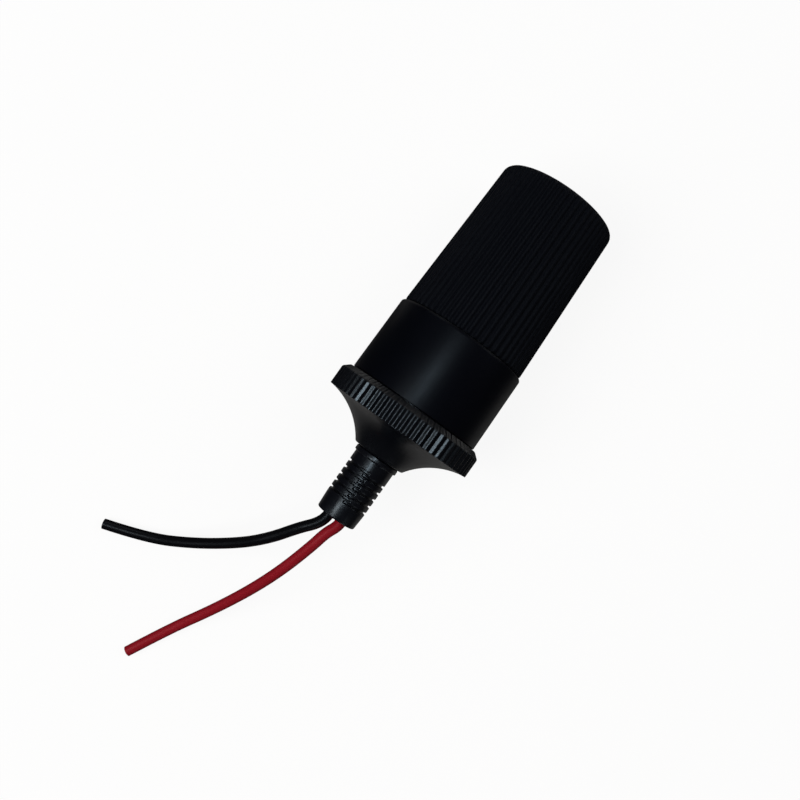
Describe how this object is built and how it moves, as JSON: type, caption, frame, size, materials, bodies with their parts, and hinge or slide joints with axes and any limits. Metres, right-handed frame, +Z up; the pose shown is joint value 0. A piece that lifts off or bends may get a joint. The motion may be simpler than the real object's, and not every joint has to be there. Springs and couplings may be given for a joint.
{
  "type": "car 12v power socket",
  "caption": "In-line car accessory power socket with a ribbed tapered barrel round a plug bore, a knurled flared screw cap, a slotted strain relief and cut-off leads.",
  "frame": {"origin": "on the ground, under the middle of the socket's box without its free leads", "axes": "+Z up; +X along the ground from the leads towards the mouth; the socket lies on its side on the rims of its collar and mouth, so its axis dips 4.1 degrees towards the mouth"},
  "size_m": [0.1371, 0.0589, 0.034],
  "materials": {
    "barrel_plastic": "black moulded plastic, fine satin",
    "cap_plastic": "black moulded plastic, smooth satin",
    "relief_vinyl": "soft black vinyl, slightly glossy",
    "shell_steel": "bright tinned steel sheet",
    "fibre": "pressed fibre board",
    "base_plastic": "dark brown moulded insulator",
    "contact_brass": "bright brass",
    "tag_brass": "tinned brass sheet",
    "copper": "bare copper strands",
    "red_vinyl": "red vinyl insulation",
    "black_vinyl": "black vinyl insulation"
  },
  "bodies": {
    "barrel": {"outer_barrel": "barrel_plastic"},
    "insert": {"strain_relief": "relief_vinyl", "socket_shell": "shell_steel", "inner_insulator": "fibre", "base_insulator": "base_plastic", "centre_contact": "contact_brass", "negative_rivet": "contact_brass", "positive_tag": "tag_brass", "negative_tag": "tag_brass", "red_lead_inner": "red_vinyl", "black_lead_inner": "black_vinyl", "red_conductor": "copper", "black_conductor": "copper", "red_lead": "red_vinyl", "black_lead": "black_vinyl"},
    "cap": {"rear_cap": "cap_plastic"}
  },
  "joints": [
    {"name": "insert_draw", "type": "slide", "parent": "barrel", "child": "insert", "axis": [-0.9974, 0, 0.072], "range_m": [0, 0.0075]},
    {"name": "cap_turn", "type": "hinge", "parent": "insert", "child": "cap", "pos_m": [-0.01803, 0, 0.01716], "axis": [-0.9974, 0, 0.072], "range_deg": [0, 1080]}
  ],
  "couplings": [
    {"joint": "insert_draw", "follows": "cap_turn", "m_per_rad": 0.00039788}
  ]
}
